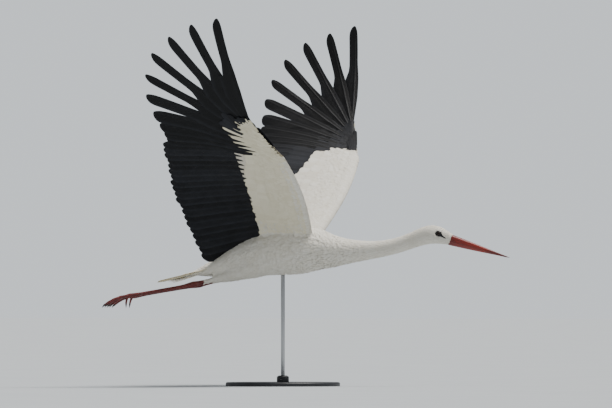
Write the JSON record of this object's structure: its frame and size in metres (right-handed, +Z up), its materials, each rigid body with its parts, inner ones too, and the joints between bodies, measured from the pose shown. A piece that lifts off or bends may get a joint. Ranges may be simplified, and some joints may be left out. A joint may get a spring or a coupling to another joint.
{
  "type": "white stork, life-size display model",
  "caption": "Life-size white stork in level flight with raised wings, fingered black flight feathers, outstretched neck and trailing legs, on a rod and round base",
  "frame": {"origin": "the middle of the round base's underside, on the floor, straight below the rod", "axes": "+Z up; +X the way the bird flies and its bill points; +Y to the bird's left, across its mirror plane"},
  "size_m": [1.27, 1.2912, 1.0827],
  "materials": {
    "white_plumage": "matte",
    "black_plumage": "satin",
    "bill_horn": "satin",
    "leg_scales": "satin",
    "claw": "satin",
    "eye": "gloss",
    "stand_paint": "satin",
    "stand_rod": "satin"
  },
  "bodies": {
    "root": {"trunk": "white_plumage", "neck_lower": "white_plumage", "neck_upper": "white_plumage", "head": "white_plumage", "bill_upper": "bill_horn", "bill_lower": "bill_horn", "tail": "white_plumage", "eye_left": "eye", "wing_left_arm": "white_plumage", "wing_left_secondaries": "black_plumage", "wing_left_hand": "black_plumage", "thigh_left": "white_plumage", "leg_left": "leg_scales", "foot_left": "leg_scales", "claw_left_middle": "claw", "claw_left_inner": "claw", "claw_left_outer": "claw", "claw_left_hind": "claw", "eye_right": "eye", "wing_right_arm": "white_plumage", "wing_right_secondaries": "black_plumage", "wing_right_hand": "black_plumage", "thigh_right": "white_plumage", "leg_right": "leg_scales", "foot_right": "leg_scales", "claw_right_middle": "claw", "claw_right_inner": "claw", "claw_right_outer": "claw", "claw_right_hind": "claw", "stand_base": "stand_paint", "stand_boss": "stand_paint", "stand_rod": "stand_rod"}
  },
  "joints": []
}
